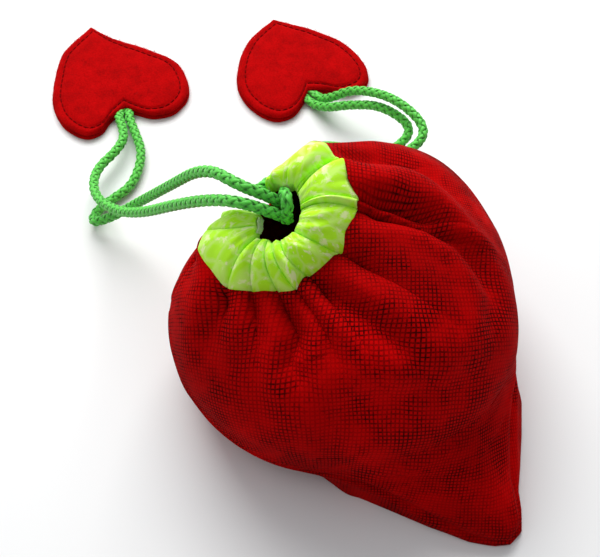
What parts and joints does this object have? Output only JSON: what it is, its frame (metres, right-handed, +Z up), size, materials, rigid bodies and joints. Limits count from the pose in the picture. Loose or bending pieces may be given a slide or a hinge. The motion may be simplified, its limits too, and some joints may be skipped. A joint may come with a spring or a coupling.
{
  "type": "drawstring pouch",
  "caption": "Plump drawstring pouch shaped like a strawberry, of red print cotton with a gathered lime casing, green braided cords and red felt heart pulls",
  "frame": {"origin": "On the table, in the plane of the resting face, near the middle of the plump body of the pouch", "axes": "+Z up from the table, +Y from the pouch towards the hearts, +X to the right, with the empty corner towards +X -Y"},
  "size_m": [0.1805, 0.2458, 0.0886],
  "materials": {
    "red_print_cotton": "matte quilting cotton with a tonal crosshatch print",
    "lime_print_cotton": "matte quilting cotton with a pale swirl print",
    "green_braided_cord": "soft sheen, round braid",
    "red_felt": "matte felt with loose fibres",
    "red_thread": "sewing thread"
  },
  "bodies": {
    "pouch": {"body_front_panel": "red_print_cotton", "body_back_panel": "red_print_cotton", "casing_front": "lime_print_cotton", "casing_back": "lime_print_cotton", "cord_left_in_front": "green_braided_cord", "cord_left_in_back": "green_braided_cord", "cord_right_in_front": "green_braided_cord", "cord_right_in_back": "green_braided_cord", "cord_right_bridge": "green_braided_cord", "cord_left_entry": "green_braided_cord"},
    "left_pull": {"cord_left_upper": "green_braided_cord", "cord_left_lower": "green_braided_cord"},
    "left_heart": {"heart_left_top": "red_felt", "heart_left_bottom": "red_felt", "heart_left_cord_ends": "green_braided_cord", "heart_left_stitching": "red_thread"},
    "right_pull": {"cord_right_upper": "green_braided_cord", "cord_right_lower": "green_braided_cord"},
    "right_heart": {"heart_right_top": "red_felt", "heart_right_bottom": "red_felt", "heart_right_cord_ends": "green_braided_cord", "heart_right_stitching": "red_thread"}
  },
  "joints": [
    {"name": "left_drawstring_slide", "type": "slide", "parent": "pouch", "child": "left_pull", "axis": [-0.6, 0.8, 0], "range_m": [0, 0.012], "deforming": ["cord_left_upper", "cord_left_lower"]},
    {"name": "left_heart_hinge", "type": "hinge", "parent": "left_pull", "child": "left_heart", "pos_m": [-0.0885, 0.118, 0.0022], "axis": [1, 0, 0], "range_deg": [0, 75]},
    {"name": "right_drawstring_slide", "type": "slide", "parent": "pouch", "child": "right_pull", "axis": [0, 1, 0], "range_m": [0, 0.012], "deforming": ["cord_right_upper", "cord_right_lower"]},
    {"name": "right_heart_hinge", "type": "hinge", "parent": "right_pull", "child": "right_heart", "pos_m": [-0.0063, 0.1268, 0.0022], "axis": [0.7071, 0.7071, 0], "range_deg": [0, 75]}
  ]
}
